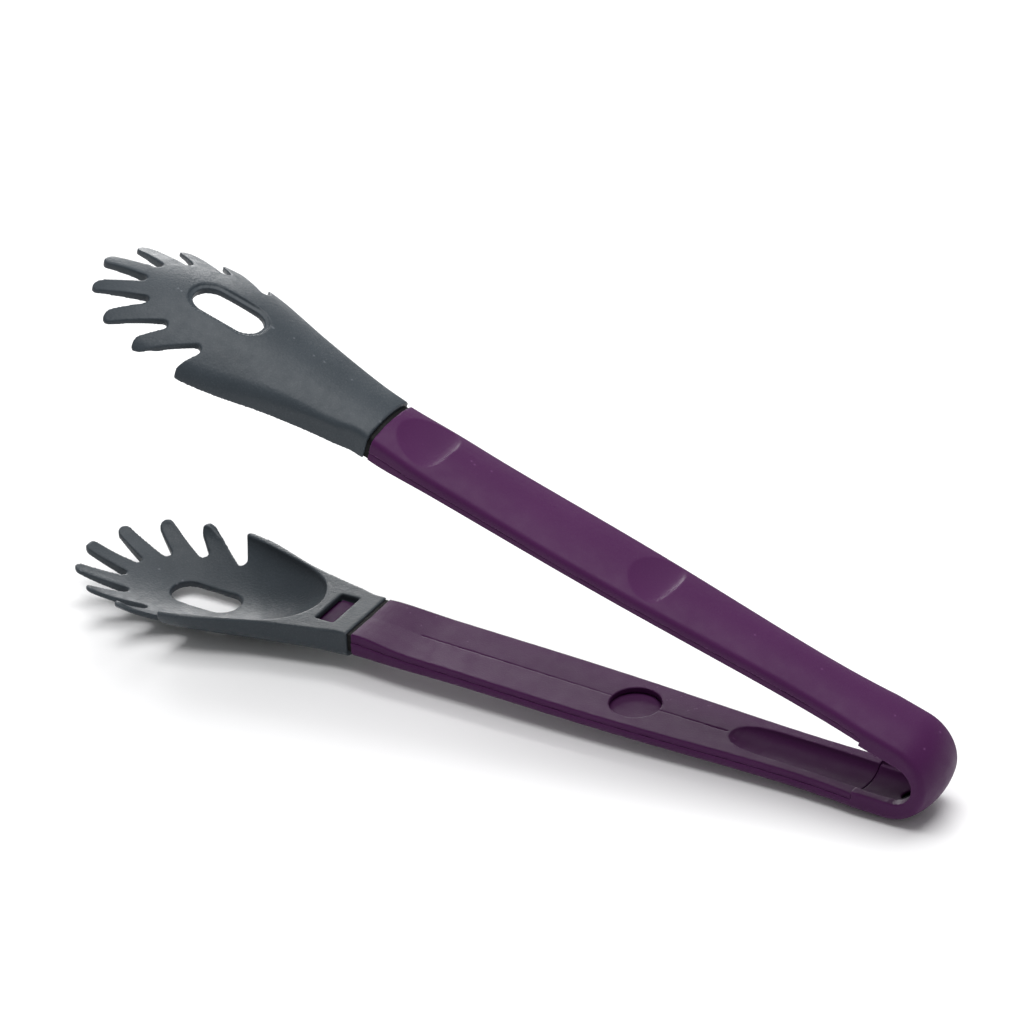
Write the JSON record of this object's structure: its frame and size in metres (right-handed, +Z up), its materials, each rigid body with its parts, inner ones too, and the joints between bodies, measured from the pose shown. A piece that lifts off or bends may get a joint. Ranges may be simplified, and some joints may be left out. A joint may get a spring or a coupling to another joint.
{
  "type": "kitchen tongs",
  "caption": "Spring-loaded kitchen tongs with two dished, fingered heads on soft-grip arms joined by a flexible folded end.",
  "frame": {"origin": "centre of the bounding box, on the surface the lower arm rests on", "axes": "+X from the heads to the folded end, along the lower arm; +Z up, the way the arms open; Y along the hinge line"},
  "size_m": [0.329, 0.0576, 0.1285],
  "materials": {
    "nylon": "fine grained dark slate nylon",
    "soft_grip": "matte soft-touch aubergine",
    "grip_core": "satin aubergine plastic",
    "collar_rubber": "matt black",
    "spring_steel": "dark blued strip, brushed along its length"
  },
  "bodies": {
    "lower_arm": {"lower_head": "nylon", "lower_collar": "collar_rubber", "lower_latch_tongue": "grip_core", "lower_outer_shell": "soft_grip", "lower_inner_shell": "soft_grip", "leaf_spring": "spring_steel", "bend_sleeve": "soft_grip"},
    "upper_arm": {"upper_head": "nylon", "upper_collar": "collar_rubber", "upper_latch_tongue": "grip_core", "upper_outer_shell": "soft_grip", "upper_inner_shell": "soft_grip"}
  },
  "joints": [
    {"name": "squeeze", "type": "hinge", "parent": "lower_arm", "child": "upper_arm", "pos_m": [0.15095, 0, 0.01573], "axis": [0, -1, 0], "range_deg": [-4, 20], "stiffness_Nm_per_rad": 3, "deforming": ["leaf_spring", "bend_sleeve"]}
  ]
}
